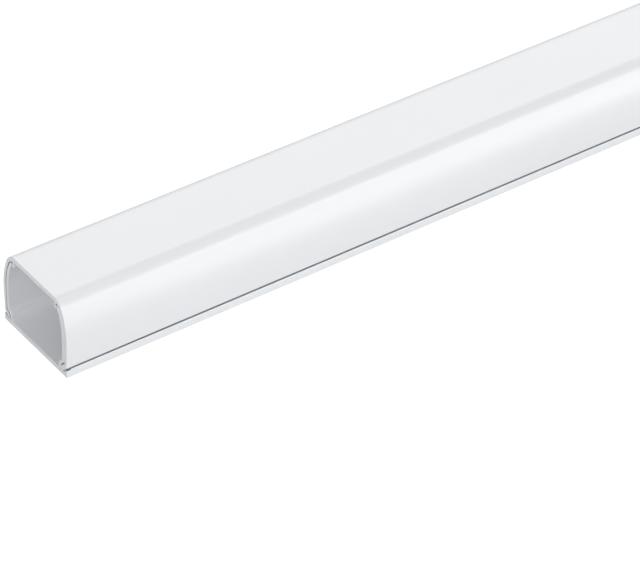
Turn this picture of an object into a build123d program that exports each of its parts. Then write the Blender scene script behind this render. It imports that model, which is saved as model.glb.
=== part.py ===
from build123d import *
from math import asin, cos, degrees, radians, tan
import os

# A snap-together cord raceway: a base that is stuck to the wall and a bowed cover that snaps over it.
# Both are rigid plastic extrusions, sawn off square. X runs along the raceway, Y across it and Z away
# from the wall. The origin is on the base's back face, at the middle of the length and of the width.

# Overall sizes
raceway_length = 400.0
base_width = 25.0
overall_height = 19.4

# Cover: its sides bow out a little past the base, and lean in towards a rounded shoulder
side_overhang = 0.1
widest_height = 10.0
lower_bow_radius = 115.0
upper_bow_radius = 16.6
top_thickness = 1.2
side_thickness = 0.9

# Base: floor, outer flange with its raised lip, and walls that curl in under the cover's shoulder
floor_thickness = 1.2
flange_thickness = 1.0
lip_height = 2.0
lip_bevel = 0.3
wall_thickness = 0.8
curl_radius = 1.6

# Seam: the foot of the cover keeps this gap above the flange and along the lip's inner slope
seam_gap = 0.3
seam_slope = 45.0

# Snap: a hook along each foot of the cover lies in a groove in the foot of each base wall,
# and a rib under the cover's top holds the curled edge of each wall against the shoulder
snap_clearance = 0.2
hook_clearance = 0.3
hook_reach = 1.1
hook_blunt_height = 0.85
hook_slope = 45.0
rib_thickness = 0.65
rib_depth = 1.65
rib_offset = 0.75
rib_clearance = 0.15

# Rounds that the extrusion die leaves
hook_round = 0.35
groove_round = 0.25
knee_round = 0.8
rib_round = 0.3
root_round = 0.2
curl_edge_round = 0.4
edge_round = 0.15

# Insets of the lines that follow the cover's outside inwards, and the heights under its top
half_widest = base_width / 2 + side_overhang
wall_outside = side_thickness + snap_clearance
wall_inside = wall_outside + wall_thickness
shoulder_radius = curl_radius + wall_inside
cover_underside = overall_height - top_thickness
wall_top = cover_underside - snap_clearance
wall_underside = wall_top - wall_thickness


# Angle by which the side line at an inset has leaned in where its shoulder starts
def lean(inset, top):
    shoulder = shoulder_radius - inset
    return degrees(asin((top - widest_height - shoulder) / (upper_bow_radius - shoulder_radius)))


# Distance of the side line at an inset from the middle, at a height below its widest point
def side_at(inset, height):
    radius = lower_bow_radius - inset
    dip = asin((widest_height - height) / radius)
    return half_widest - inset - radius * (1 - cos(dip))


# Half of the area under a line that follows the cover's outside at an inset
def half_arch(inset, top):
    widest = (half_widest - inset, widest_height)
    dip = degrees(asin(widest_height / (lower_bow_radius - inset)))
    turn = lean(inset, top)
    with BuildSketch() as face:
        with BuildLine():
            lower = JernArc(widest, (0, -1), lower_bow_radius - inset, -dip)
            upper = JernArc(widest, (0, 1), upper_bow_radius - inset, turn)
            shoulder = JernArc(upper @ 1, upper % 1, shoulder_radius - inset, 90 - turn)
            Polyline(shoulder @ 1, (0, top), (0, 0), lower @ 1)
        make_face()
    return face.sketch_local


# Where an outline that keeps a gap from the hook's tip and a gap from its slope turns between them
def knee(tip_gap, slope_gap):
    rise = slope_gap / cos(radians(hook_slope)) - tip_gap * tan(radians(hook_slope))
    return hook_tip - tip_gap, hook_blunt_top + rise


# The point up the slope that lies a width further out than the knee
def up_slope(gaps, width):
    across, height = knee(*gaps)
    return across + width, height + width * tan(radians(hook_slope))


# The lip rises to a ridge. The foot has a corner over the lip's root and a slope beside the lip's
half_width = base_width / 2
lip_ridge = half_width - lip_bevel
lip_root = lip_ridge - (lip_height - flange_thickness) / tan(radians(seam_slope))
foot_height = flange_thickness + seam_gap
foot_corner = lip_root - seam_gap * tan(radians(seam_slope / 2))
slope_end_height = foot_height + (half_widest - foot_corner) * tan(radians(seam_slope))

# The hook has a blunt tip and a slope up to the cover's inner face
hook_blunt_top = foot_height + hook_blunt_height
hook_tip = side_at(side_thickness, hook_blunt_top) - hook_reach
hook_root = hook_reach + side_thickness / 2
hook_gaps = 0, 0

# The rib stands just outside the centre of the shoulder's round
shoulder_lean = radians(lean(side_thickness, cover_underside))
shoulder_spread = (upper_bow_radius - shoulder_radius) * cos(shoulder_lean)
shoulder_centre = half_widest - upper_bow_radius + shoulder_spread
rib_outer = shoulder_centre + rib_offset
rib_inner = rib_outer - rib_thickness
rib_bottom = cover_underside - rib_depth

with BuildSketch() as hook:
    with BuildLine():
        Polyline(
            (hook_tip, 0),
            knee(*hook_gaps),
            up_slope(hook_gaps, hook_root),
            (hook_tip + hook_root, 0),
            close=True,
        )
    make_face()

# What the foot keeps clear of: all that lies under the seam gap
with BuildSketch() as seat:
    with BuildLine():
        Polyline(
            (0, 0),
            (0, foot_height),
            (foot_corner, foot_height),
            (half_widest, slope_end_height),
            (half_widest, 0),
            close=True,
        )
    make_face()

with BuildSketch() as cover_half:
    add(half_arch(0, overall_height))
    add(half_arch(side_thickness, cover_underside), mode=Mode.SUBTRACT)
    add(hook.sketch_local)
    add(seat.sketch_local, mode=Mode.SUBTRACT)
    with Locations((rib_inner, rib_bottom)):
        Rectangle(rib_thickness, rib_depth + top_thickness / 2, align=Align.MIN)
    for corner, radius in (
        ((hook_tip, foot_height), hook_round),
        (knee(*hook_gaps), hook_round),
        (up_slope(hook_gaps, hook_reach), root_round),
        ((foot_corner, foot_height), edge_round),
        ((half_widest, slope_end_height), edge_round),
        ((rib_outer, rib_bottom), rib_round),
        ((rib_inner, rib_bottom), rib_round),
        ((rib_outer, cover_underside), root_round),
    ):
        fillet(cover_half.vertices().sort_by_distance(corner)[0], radius)

# The groove's back, and the knee behind it that keeps the wall's thickness there
groove_gaps = snap_clearance, hook_clearance
groove_back, groove_knee = knee(*groove_gaps)
back_gaps = snap_clearance + wall_thickness, hook_clearance + wall_thickness
back_inside, back_knee = knee(*back_gaps)
wall_edge = rib_outer + rib_clearance

with BuildSketch() as wall_back:
    with BuildLine():
        Polyline(
            (back_inside, 0),
            (back_inside, back_knee),
            up_slope(back_gaps, hook_reach + wall_thickness),
            (groove_back + hook_reach, 0),
            close=True,
        )
    make_face()

with BuildSketch() as groove:
    with BuildLine():
        Polyline(
            (groove_back, flange_thickness),
            (groove_back, groove_knee),
            up_slope(groove_gaps, hook_reach + wall_thickness),
            (groove_back + hook_reach + wall_thickness, flange_thickness),
            close=True,
        )
    make_face()

with BuildSketch() as lip:
    with BuildLine():
        Polyline(
            (half_width, 0),
            (half_width, lip_height - lip_bevel),
            (lip_ridge, lip_height),
            (lip_root, flange_thickness),
            (lip_root, 0),
            close=True,
        )
    make_face()

with BuildSketch() as base_half:
    add(half_arch(wall_outside, wall_top))
    add(half_arch(wall_inside, wall_underside), mode=Mode.SUBTRACT)
    Rectangle(wall_edge, wall_top, align=Align.MIN, mode=Mode.SUBTRACT)
    add(wall_back.sketch_local)
    Rectangle(groove_back, floor_thickness, align=Align.MIN)
    add(groove.sketch_local, mode=Mode.SUBTRACT)
    Rectangle(lip_ridge, flange_thickness, align=Align.MIN)
    add(lip.sketch_local)
    for corner, radius in (
        ((half_width, 0), edge_round),
        ((half_width, lip_height - lip_bevel), edge_round),
        ((lip_ridge, lip_height), edge_round),
        ((groove_back, flange_thickness), groove_round),
        ((groove_back, groove_knee), groove_round),
        (up_slope(groove_gaps, hook_reach), root_round),
        ((back_inside, floor_thickness), groove_round),
        ((back_inside, back_knee), knee_round),
        (up_slope(back_gaps, hook_reach), knee_round),
        ((wall_edge, wall_underside), edge_round),
        ((wall_edge, wall_top), curl_edge_round),
    ):
        fillet(base_half.vertices().sort_by_distance(corner)[0], radius)

with BuildPart() as cover:
    with BuildSketch(Plane.YZ):
        add(cover_half.sketch_local)
        mirror(about=Plane.YZ)
    extrude(amount=raceway_length / 2, both=True)

with BuildPart() as base:
    with BuildSketch(Plane.YZ):
        add(base_half.sketch_local)
        mirror(about=Plane.YZ)
    extrude(amount=raceway_length / 2, both=True)

base.part.label = "base"
cover.part.label = "cover"

os.makedirs("parts", exist_ok=True)
export_step(base.part, "parts/base.step")
export_step(cover.part, "parts/cover.step")
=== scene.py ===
from math import acos, asin, cos, hypot, pi, radians, sin, tan

import bpy
from mathutils import Matrix, Vector
from mathutils.geometry import intersect_point_line


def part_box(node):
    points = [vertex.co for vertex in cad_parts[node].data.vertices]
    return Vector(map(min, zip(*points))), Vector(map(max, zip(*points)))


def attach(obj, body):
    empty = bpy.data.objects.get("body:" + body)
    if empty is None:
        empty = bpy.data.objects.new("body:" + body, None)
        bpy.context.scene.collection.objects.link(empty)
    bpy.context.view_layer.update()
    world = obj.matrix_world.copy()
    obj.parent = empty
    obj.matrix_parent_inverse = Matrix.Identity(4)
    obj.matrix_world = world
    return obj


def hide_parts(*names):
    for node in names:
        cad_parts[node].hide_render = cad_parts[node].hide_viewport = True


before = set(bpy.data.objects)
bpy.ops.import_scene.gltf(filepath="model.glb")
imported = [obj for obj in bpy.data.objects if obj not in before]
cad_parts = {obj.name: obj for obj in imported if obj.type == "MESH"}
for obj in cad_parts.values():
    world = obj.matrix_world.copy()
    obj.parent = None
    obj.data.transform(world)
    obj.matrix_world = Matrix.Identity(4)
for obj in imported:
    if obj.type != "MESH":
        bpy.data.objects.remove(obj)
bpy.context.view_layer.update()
print("frame loaded:", ", ".join(sorted(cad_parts)))

mm = 0.001  # the section's sizes below are in millimetres, as on an extrusion drawing

# the line that both extrusions follow inwards from the cover's outside: lower bow, upper bow, shoulder
sideLine = {
    "widestHeight": 10.0,
    "lowerBow": 115.0,
    "upperBow": 16.6,
    "shoulder": 3.5,
    "lowerStep": radians(0.5),
    "upperStep": radians(1.5),
    "shoulderStep": radians(4),
    "meetingRounds": 12,
}
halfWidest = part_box("cover")[1].y / mm


# points along an arc, from one angle to another, as corners without a round
def arc(centre, radius, start, end, step):
    count = max(2, round(abs(end - start) / step))
    angles = [start + (end - start) * i / count for i in range(count + 1)]
    return [(centre[0] + radius * cos(a), centre[1] + radius * sin(a), 0) for a in angles]


# distance of the side line from the middle at a height below its widest point
def sideAt(inset, height):
    radius = sideLine["lowerBow"] - inset
    dip = asin((sideLine["widestHeight"] - height) / radius)
    return halfWidest - inset - radius * (1 - cos(dip))


# height at which a slope that rises outwards from a point meets the side line at an inset
def slopeMeets(start, slope, inset):
    height = start[1]
    for turn in range(sideLine["meetingRounds"]):
        height = start[1] + (sideAt(inset, height) - start[0]) * tan(slope)
    return height


# centre of the shoulder's round and the angle by which the side has leaned in there
def shoulderOf(inset, top):
    radius = sideLine["shoulder"] - inset
    spread = sideLine["upperBow"] - sideLine["shoulder"]
    lean = asin((top - sideLine["widestHeight"] - radius) / spread)
    return (halfWidest - sideLine["upperBow"] + spread * cos(lean), top - radius), lean


# the side line from its foot up to where its shoulder reaches a distance from the middle,
# with the rounds of the corners at both of its ends
def alongSide(inset, top, foot, edge=0, footRound=0, endRound=0):
    height = sideLine["widestHeight"]
    lower = sideLine["lowerBow"] - inset
    upper = sideLine["upperBow"] - inset
    shoulder = sideLine["shoulder"] - inset
    centre, lean = shoulderOf(inset, top)
    end = acos(min(1, max(0, (edge - centre[0]) / shoulder)))
    dip = asin((height - foot) / lower)
    points = arc((halfWidest - sideLine["lowerBow"], height), lower, -dip, 0, sideLine["lowerStep"])
    points += arc((halfWidest - sideLine["upperBow"], height), upper, 0, lean, sideLine["upperStep"])[1:]
    points += arc(centre, shoulder, lean, end, sideLine["shoulderStep"])[1:]
    points[0] = (*points[0][:2], footRound)
    points[-1] = (*points[-1][:2], endRound)
    return points


# points of an arc that lie within a corner's round go, so that the round has room
def withRoom(section):
    corners = [point for point in section if point[2] > 0]
    return [
        point
        for point in section
        if point[2] > 0 or all(hypot(point[0] - y, point[1] - z) > r for y, z, r in corners)
    ]


# where a line that keeps a gap from the hook's tip and a gap from its slope turns between them
def knee(tipGap, slopeGap):
    rise = slopeGap / cos(hook["slope"]) - tipGap * tan(hook["slope"])
    return hook["tip"] - tipGap, hook["bluntTop"] + rise


# the base's own sizes
base = {
    "halfWidth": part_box("base")[1].y / mm,
    "floor": 1.2,
    "flange": 1.0,
    "lip": 2.0,
    "lipBevel": 0.3,
    "wall": 0.8,
    "grooveRound": 0.25,
    "kneeRound": 0.8,
    "curlRound": 0.4,
}
seam = {"gap": 0.3, "slope": radians(45)}
base["lipRidge"] = base["halfWidth"] - base["lipBevel"]
base["lipRoot"] = base["lipRidge"] - (base["lip"] - base["flange"]) / tan(seam["slope"])
edgeRound = 0.15
rootRound = 0.2

# the cover's own sizes
cover = {
    "top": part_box("cover")[1].z / mm,
    "topThickness": 1.2,
    "sideThickness": 0.9,
    "foot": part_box("cover")[0].z / mm,
    "ribThickness": 0.65,
    "ribDepth": 1.65,
    "ribOffset": 0.75,
    "ribRound": 0.3,
    "ribClearance": 0.15,
}
cover["underside"] = cover["top"] - cover["topThickness"]
cover["footCorner"] = base["lipRoot"] - seam["gap"] * tan(seam["slope"] / 2)
cover["ribOuter"] = shoulderOf(cover["sideThickness"], cover["underside"])[0][0] + cover["ribOffset"]

# the hook along the cover's foot, and the groove that it lies in
hook = {
    "reach": 1.1,
    "bluntHeight": 0.85,
    "slope": radians(45),
    "round": 0.35,
    "clearance": 0.2,
    "slopeClearance": 0.3,
}
hook["bluntTop"] = cover["foot"] + hook["bluntHeight"]
hook["tip"] = sideAt(cover["sideThickness"], hook["bluntTop"]) - hook["reach"]

base["wallTop"] = cover["underside"] - hook["clearance"]
base["wallEdge"] = cover["ribOuter"] + cover["ribClearance"]


# right half of the cover's section, from the top's middle round to the underside's middle
def coverSection():
    corner = (cover["footCorner"], cover["foot"])
    inset = cover["sideThickness"]
    ribInner = cover["ribOuter"] - cover["ribThickness"]
    ribBottom = cover["underside"] - cover["ribDepth"]
    outside = alongSide(0, cover["top"], slopeMeets(corner, seam["slope"], 0), footRound=edgeRound)
    meet = slopeMeets(knee(0, 0), hook["slope"], inset)
    inside = alongSide(inset, cover["underside"], meet, cover["ribOuter"], rootRound, rootRound)
    hookLine = [
        (*corner, edgeRound),
        (hook["tip"], cover["foot"], hook["round"]),
        (*knee(0, 0), hook["round"]),
    ]
    ribLine = [
        (cover["ribOuter"], ribBottom, cover["ribRound"]),
        (ribInner, ribBottom, cover["ribRound"]),
        (ribInner, cover["underside"], 0),
    ]
    return withRoom(outside[::-1] + hookLine + inside + ribLine)


# right half of the base's section, from the back's middle round to the floor's middle
def baseSection():
    half = base["halfWidth"]
    flange = base["flange"]
    edge = base["wallEdge"]
    outer = cover["sideThickness"] + hook["clearance"]
    inner = outer + base["wall"]
    grooveKnee = knee(hook["clearance"], hook["slopeClearance"])
    backKnee = knee(hook["clearance"] + base["wall"], hook["slopeClearance"] + base["wall"])
    outerFoot = slopeMeets(grooveKnee, hook["slope"], outer)
    innerFoot = slopeMeets(backKnee, hook["slope"], inner)
    top = base["wallTop"]
    wallOutside = alongSide(outer, top, outerFoot, edge, rootRound, base["curlRound"])
    wallInside = alongSide(inner, top - base["wall"], innerFoot, edge, base["kneeRound"], edgeRound)
    flangeLine = [
        (half, 0, edgeRound),
        (half, base["lip"] - base["lipBevel"], edgeRound),
        (base["lipRidge"], base["lip"], edgeRound),
        (base["lipRoot"], flange, 0),
        (grooveKnee[0], flange, base["grooveRound"]),
        (*grooveKnee, base["grooveRound"]),
    ]
    floorLine = [(*backKnee, base["kneeRound"]), (backKnee[0], base["floor"], base["grooveRound"])]
    return withRoom(flangeLine + wallOutside + wallInside[::-1] + floorLine)


# least distance from a point of one half section to the outline of the other
def distanceTo(point, section):
    here = Vector(point[:2])
    gaps = []
    for start, end in zip(section, section[1:]):
        share = intersect_point_line(here, start[:2], end[:2])[1]
        nearest = Vector(start[:2]).lerp(Vector(end[:2]), min(1, max(0, share)))
        gaps.append((nearest - here).length)
    return min(gaps)


# one socket of a node tree; arithmetic on it adds Math nodes
class Wire:
    def __init__(self, tree, socket=None):
        self.tree = tree
        self.socket = socket

    # adds a node: its settings are set first, then the values or wires of its inputs,
    # which are given by name, or as at0, at1 and so on by place
    def node(self, kind, settings=None, out=0, **links):
        made = self.tree.nodes.new(kind)
        for name, value in (settings or {}).items():
            setattr(made, name, value)
        for name, value in links.items():
            key = int(name[2:]) if name.startswith("at") and name[2:].isdigit() else name.replace("_", " ")
            socket = made.inputs[key]
            if isinstance(value, Wire):
                self.tree.links.new(value.socket, socket)
            else:
                socket.default_value = value
        return Wire(self.tree, made.outputs[out])

    def math(self, operation, *others):
        values = {"at%d" % i: value for i, value in enumerate((self, *others))}
        return self.node("ShaderNodeMath", {"operation": operation}, **values)

    def axis(self, name):
        return self.node("ShaderNodeSeparateXYZ", out=name, Vector=self)

    # 0 up to the low value, then a smooth rise to the top at the high value
    def smoothly(self, low, high, top=1.0):
        steps = {"interpolation_type": "SMOOTHSTEP"}
        return self.node("ShaderNodeMapRange", steps, Value=self, From_Min=low, From_Max=high, To_Max=top)

    # the first colour where this is 0 and the second where it is 1
    def blend(self, first, second):
        return self.node("ShaderNodeMix", {"data_type": "RGBA"}, out=2, at0=self, at6=first, at7=second)

    def __add__(self, other):
        return self.math("ADD", other)

    __radd__ = __add__

    def __sub__(self, other):
        return self.math("SUBTRACT", other)

    def __rsub__(self, other):
        return (self * -1.0) + other

    def __mul__(self, other):
        return self.math("MULTIPLY", other)

    __rmul__ = __mul__


# a new object, linked to the scene
def placed(name, data):
    made = bpy.data.objects.new(name, data)
    bpy.context.scene.collection.objects.link(made)
    return made


# both extrusions are swept and sawn by one tree; what lies past the end's share of the half length is sawn
sawCut = {
    "length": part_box("base")[1].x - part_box("base")[0].x,
    "endShare": 0.99,
    "burr": 0.05 * mm,
    "burrSteps": 2,
    "cornerSteps": 5,
    "sharpAngle": radians(20),
}


def sawnExtrusionTree():
    tree = bpy.data.node_groups.new("sawnExtrusion", "GeometryNodeTree")
    inputs = {
        "Outline": "NodeSocketGeometry",
        "Length": "NodeSocketFloat",
        "Corner steps": "NodeSocketInt",
        "Material": "NodeSocketMaterial",
    }
    for name, kind in inputs.items():
        tree.interface.new_socket(name, in_out="INPUT", socket_type=kind)
    tree.interface.new_socket("Extrusion", in_out="OUTPUT", socket_type="NodeSocketGeometry")
    sockets = tree.nodes.new("NodeGroupInput").outputs
    given = {name: Wire(tree, sockets[name]) for name in inputs}

    start = Wire(tree)
    half = given["Length"] * 0.5
    roundSize = start.node(
        "GeometryNodeInputNamedAttribute", {"data_type": "FLOAT"}, out="Attribute", Name="cornerRound"
    )
    outline = start.node("GeometryNodeMeshToCurve", out="Curve", Mesh=given["Outline"])
    profile = start.node(
        "GeometryNodeFilletCurve",
        {"mode": "POLY"},
        out="Curve",
        Curve=outline,
        Count=given["Corner steps"],
        Radius=roundSize,
        Limit_Radius=True,
    )
    railStart = start.node("ShaderNodeCombineXYZ", X=half * -1)
    railEnd = start.node("ShaderNodeCombineXYZ", X=half)
    rail = start.node("GeometryNodeCurvePrimitiveLine", out="Curve", Start=railStart, End=railEnd)
    upright = start.node("GeometryNodeSetCurveTilt", out="Curve", Curve=rail, Tilt=pi)  # heights point up
    swept = start.node(
        "GeometryNodeCurveToMesh", out="Mesh", Curve=upright, Profile_Curve=profile, Fill_Caps=True
    )

    # the edges round both sawn faces get the weight that the bevel reads
    reach = start.node("GeometryNodeInputPosition").axis("X").math("ABSOLUTE")
    atEnd = start.node(
        "FunctionNodeCompare",
        {"data_type": "FLOAT", "operation": "GREATER_THAN"},
        at0=reach,
        at1=half * sawCut["endShare"],
    )
    weighted = start.node(
        "GeometryNodeStoreNamedAttribute",
        {"data_type": "FLOAT", "domain": "EDGE"},
        out="Geometry",
        Geometry=swept,
        Selection=atEnd,
        Name="bevel_weight_edge",
        Value=1.0,
    )
    realized = start.node("GeometryNodeRealizeInstances", out="Geometry", Geometry=weighted)
    coloured = start.node(
        "GeometryNodeSetMaterial", out="Geometry", Geometry=realized, Material=given["Material"]
    )
    result = tree.nodes.new("NodeGroupOutput")
    tree.links.new(coloured.socket, result.inputs["Extrusion"])
    return tree


# sweeps a half section, mirrored, along the raceway and saws both ends square;
# its points that stand in a gap to the other piece's section are marked for the material's painted shade
def sawnExtrusion(name, halfSection, otherSection, material):
    full = halfSection + [(-y, z, r) for y, z, r in reversed(halfSection)]
    inGap = [float(distanceTo(point, otherSection) * mm < gapShade["reach"]) for point in halfSection]
    outline = bpy.data.meshes.new(name + "Outline")
    count = len(full)
    outline.from_pydata(
        [(y * mm, z * mm, 0) for y, z, r in full], [(i, (i + 1) % count) for i in range(count)], []
    )
    rounds = outline.attributes.new("cornerRound", "FLOAT", "POINT")
    rounds.data.foreach_set("value", [r * mm for y, z, r in full])
    gaps = outline.attributes.new("inGap", "FLOAT", "POINT")
    gaps.data.foreach_set("value", inGap + inGap[::-1])
    maker = placed(name + "Maker", outline)
    sweep = maker.modifiers.new("sweep", "NODES")
    sweep.node_group = extrusionTree
    sockets = {item.name: item.identifier for item in extrusionTree.interface.items_tree}
    sweep[sockets["Length"]] = sawCut["length"]
    sweep[sockets["Corner steps"]] = sawCut["cornerSteps"]
    sweep[sockets["Material"]] = material
    burr = maker.modifiers.new("burr", "BEVEL")
    burr.limit_method = "WEIGHT"
    burr.width = sawCut["burr"]
    burr.segments = sawCut["burrSteps"]
    depsgraph = bpy.context.evaluated_depsgraph_get()
    mesh = bpy.data.meshes.new_from_object(maker.evaluated_get(depsgraph))
    mesh.name = name
    bpy.data.objects.remove(maker)
    mesh.polygons.foreach_set("use_smooth", [True] * len(mesh.polygons))
    mesh.set_sharp_from_angle(angle=sawCut["sharpAngle"])
    return placed(name, mesh)


# each texture has its scale along the three axes, its detail, and its height in millimetres
pvc = {
    "white": (0.885, 0.900, 0.922, 1),
    "cutWhite": (0.68, 0.70, 0.72, 1),
    "cutFrom": 0.06 * mm,
    "cutTo": 0.01 * mm,
    "gloss": 0.24,
    "cutGloss": 0.55,
    "ior": 1.53,
    "drawLines": {"scale": (6, 1400, 1400), "detail": 3.0, "height": 0.0015, "gloss": 0.05},
    "waves": {"scale": (15, 45, 45), "detail": 1.0, "height": 0.02},
    "sawMarks": {"scale": (1, 2600, 90), "turn": radians(28), "detail": 4.0, "height": 0.006, "gloss": 0.2},
    "cloud": {"scale": (38, 38, 38), "detail": 3.0, "gloss": 0.06, "tint": 0.1},
    "noiseMiddle": 0.5,
}

# painted shade: a dark grey blended into the base colour at the mouths of the narrow gaps between the two
# pieces
# how deep the narrow gaps are shaded behind the sawn faces, and where they are left white because the
# photographed cover rests on the base there: at the near wall, and up to a seat's height at both feet
gapShade = {
    "reach": 0.45 * mm,
    "markFrom": 0.5,
    "markTo": 0.95,
    "grey": (0.08, 0.08, 0.09, 1),
    "depth": 0.3 * mm,
    "fade": 0.1 * mm,
    "hookDepth": 0.8 * mm,
    "hookTop": 4.2 * mm,
    "restsFrom": 3.4 * mm,
    "restsTo": 17.4 * mm,
    "farSeat": (cover["foot"] + 0.15) * mm,
    "nearSeat": hook["bluntTop"] * mm,
    "seatEdge": cover["footCorner"] * mm,
}


# where shade is painted into the base colour: 1 in the narrow gaps just behind the sawn faces, deeper at
# the hooks and the seam
def paintedGapShadeMask(place, distance):
    y = place.axis("Y")
    z = place.axis("Z")
    near = y.math("LESS_THAN", 0.0)
    above = z.math("GREATER_THAN", gapShade["restsFrom"])
    rests = near * above * z.math("LESS_THAN", gapShade["restsTo"])
    seat = near * (gapShade["nearSeat"] - gapShade["farSeat"]) + gapShade["farSeat"]
    seated = z.math("LESS_THAN", seat) * y.math("ABSOLUTE").math("LESS_THAN", gapShade["seatEdge"])
    depth = z.math("LESS_THAN", gapShade["hookTop"]) * gapShade["hookDepth"] + gapShade["depth"]
    half = sawCut["length"] / 2
    mouth = (distance + depth).smoothly(half - gapShade["fade"], half)
    marked = place.node("ShaderNodeAttribute", {"attribute_name": "inGap"}, out="Fac")
    narrow = marked.smoothly(gapShade["markFrom"], gapShade["markTo"])
    return mouth * narrow * (1 - rests) * (1 - seated)


def pvcMaterial():
    material = bpy.data.materials.new("whitePvc")
    material.use_nodes = True
    tree = material.node_tree
    surface = tree.nodes["Principled BSDF"]
    place = Wire(tree).node("ShaderNodeTexCoord", out="Object")
    middle = pvc["noiseMiddle"]

    def noise(spec):
        turn = (spec.get("turn", 0), 0, 0)
        scaled = place.node("ShaderNodeMapping", Vector=place, Rotation=turn, Scale=spec["scale"])
        return place.node("ShaderNodeTexNoise", out="Fac", Vector=scaled, Scale=1.0, Detail=spec["detail"])

    # 1 on the sawn faces and 0 along the sides
    distance = place.axis("X").math("ABSOLUTE")
    half = sawCut["length"] / 2
    sawn = distance.smoothly(half - pvc["cutFrom"], half - pvc["cutTo"])

    # draw lines run along the extrusion, saw marks across its sawn faces
    lines = noise(pvc["drawLines"])
    waves = noise(pvc["waves"])
    marks = noise(pvc["sawMarks"])
    cloud = noise(pvc["cloud"])
    height = lines * pvc["drawLines"]["height"] + waves * pvc["waves"]["height"]
    relief = height * (1 - sawn) + marks * pvc["sawMarks"]["height"] * sawn
    bump = relief.node("ShaderNodeBump", Height=relief, Distance=mm, Strength=1.0)

    uneven = (cloud - middle) * pvc["cloud"]["gloss"]
    gloss = pvc["gloss"] + uneven + (lines - middle) * pvc["drawLines"]["gloss"]
    cutGloss = pvc["cutGloss"] + (marks - middle) * pvc["sawMarks"]["gloss"]
    roughness = gloss * (1 - sawn) + sawn * cutGloss
    tint = sawn + (cloud - middle) * pvc["cloud"]["tint"]
    white = tint.blend(pvc["white"], pvc["cutWhite"])
    # painted shade: the base colour turns dark grey in the narrow gaps just behind the sawn faces
    colour = (paintedGapShadeMask(place, distance) * (1 - sawn)).blend(white, gapShade["grey"])
    tree.links.new(colour.socket, surface.inputs["Base Color"])
    tree.links.new(roughness.socket, surface.inputs["Roughness"])
    tree.links.new(bump.socket, surface.inputs["Normal"])
    surface.inputs["IOR"].default_value = pvc["ior"]
    return material


extrusionTree = sawnExtrusionTree()
whitePvc = pvcMaterial()
baseSkin = sawnExtrusion("baseExtrusion", baseSection(), coverSection(), whitePvc)
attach(baseSkin, "base")
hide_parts("base")
coverSkin = sawnExtrusion("coverExtrusion", coverSection(), baseSection(), whitePvc)
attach(coverSkin, "cover")
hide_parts("cover")
print("extrusions swept:", len(baseSkin.data.polygons), "and", len(coverSkin.data.polygons), "faces")

# a white studio: a wide floor, whose reflection has a bright card on the camera's side,
# a dim even sky and soft boxes
studio = {
    "sky": 0.31,
    "floorSize": 3.6,
    "floorDrop": 0.02 * mm,  # at one height, the two faces would show through each other
    "floorWhite": 0.73,
    "floorLift": 0.65,
    "cardWhite": 3.3,
    "cardNear": 0.01,
    "cardFar": 0.085,
    "cardStart": -0.22,
    "cardEven": -0.1,
}
lamps = {
    "overhead": {"at": (-0.1, 0.6, 1.4), "size": (1.0, 0.6), "power": 1.5, "mirrored": False},
    "backdrop": {"at": (0.75, 1.13, 1.1), "size": (1.3, 1.0), "power": 8.5},
    "strip": {"at": (0.75, -1.4, 0.62), "size": (1.6, 0.55), "power": 10.6, "mirrored": False},
    "glint": {"at": (0.8, -1.4, 0.2), "size": (0.84, 0.48), "power": 3.27, "spread": False},
    "upperGlint": {"at": (0.82, -1.4, 0.68), "size": (0.84, 0.5), "power": 2.45, "spread": False},
    "fill": {"at": (-1.55, -0.75, 0.62), "size": (1.0, 0.8), "power": 13.4},
    "farFill": {"at": (1.6, 0.25, 0.2), "size": (0.8, 0.5), "power": 8.0},
}
lampAim = Vector((-0.1, 0, 0))


def studioFloor():
    half = studio["floorSize"] / 2
    low = -studio["floorDrop"]
    mesh = bpy.data.meshes.new("studioFloor")
    corners = [(-half, -half, low), (half, -half, low), (half, half, low), (-half, half, low)]
    mesh.from_pydata(corners, [], [(0, 1, 2, 3)])
    material = bpy.data.materials.new("floorWhite")
    material.use_nodes = True
    tree = material.node_tree
    tree.nodes.remove(tree.nodes["Principled BSDF"])
    start = Wire(tree)
    seen = start.node("ShaderNodeLightPath", out="Is Camera Ray")
    mirrored = start.node("ShaderNodeLightPath", out="Is Glossy Ray")
    place = start.node("ShaderNodeTexCoord", out="Object")
    aside = place.axis("Y") * -1.0
    card = aside.smoothly(studio["cardNear"], studio["cardFar"], studio["cardWhite"])
    card = card * place.axis("X").smoothly(studio["cardStart"], studio["cardEven"])
    white = studio["floorWhite"]
    glow = (seen + mirrored) * studio["floorLift"] + mirrored * card
    paint = start.node("ShaderNodeBsdfDiffuse", Color=(white, white, white, 1))
    lift = start.node("ShaderNodeEmission", Strength=glow)
    both = start.node("ShaderNodeAddShader", at0=paint, at1=lift)
    tree.links.new(both.socket, tree.nodes["Material Output"].inputs["Surface"])
    mesh.materials.append(material)
    floor = placed("studioFloor", mesh)


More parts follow.
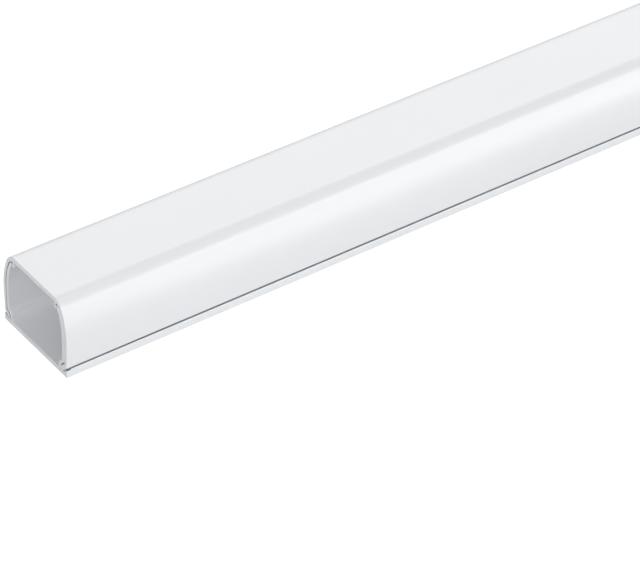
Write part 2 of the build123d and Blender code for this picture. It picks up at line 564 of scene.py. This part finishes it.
def studioSky():
    world = bpy.data.worlds.new("studioSky")
    bpy.context.scene.world = world
    world.use_nodes = True
    tree = world.node_tree
    start = Wire(tree)
    seen = start.node("ShaderNodeLightPath", out="Is Camera Ray")
    for kind in ("Is Glossy Ray", "Is Transmission Ray"):
        seen = seen.math("MAXIMUM", start.node("ShaderNodeLightPath", out=kind))
    strength = seen * (1 - studio["sky"]) + studio["sky"]
    tree.links.new(strength.socket, tree.nodes["Background"].inputs["Strength"])
    tree.nodes["Background"].inputs["Color"].default_value = (1, 1, 1, 1)


def studioLamp(name, spec):
    light = bpy.data.lights.new(name, "AREA")
    light.shape = "RECTANGLE"
    light.size, light.size_y = spec["size"]
    light.energy = spec["power"]
    lamp = placed(name, light)
    lamp.location = spec["at"]
    away = lamp.location - lampAim
    lamp.rotation_mode = "QUATERNION"
    lamp.rotation_quaternion = away.to_track_quat("Z", "Y")
    lamp.visible_camera = False
    lamp.visible_glossy = spec.get("mirrored", True)
    lamp.visible_diffuse = spec.get("spread", True)


studioFloor()
studioSky()
for name, spec in lamps.items():
    studioLamp(name, spec)
print("studio lit with", len(lamps), "lamps")

# the photograph's camera: a long lens, up and to the left of the near end
camera = {
    "lens": 216.06,
    "sensor": 36,
    "nearest": 0.01,
    "azimuth": radians(-36.714),
    "elevation": radians(38.066),
    "roll": radians(1.598),
    "distance": 0.83303,
    "aim": Vector((-0.144038, -0.027028, 0.010)),
}


def photoCamera():
    data = bpy.data.cameras.new("photoCamera")
    data.lens = camera["lens"]
    data.sensor_width = camera["sensor"]
    data.clip_start = camera["nearest"]
    level = cos(camera["elevation"])
    back = Vector(
        (sin(camera["azimuth"]) * level, -cos(camera["azimuth"]) * level, sin(camera["elevation"]))
    )
    right = Vector((0, 0, 1)).cross(back).normalized()
    upright = Matrix((right, back.cross(right), back)).transposed()
    turned = upright @ Matrix.Rotation(camera["roll"], 3, "Z")
    eye = placed("photoCamera", data)
    eye.matrix_world = Matrix.Translation(camera["aim"] + back * camera["distance"]) @ turned.to_4x4()
    bpy.context.scene.camera = eye


photoCamera()
bpy.context.scene.view_settings.view_transform = "Standard"
print("camera placed")
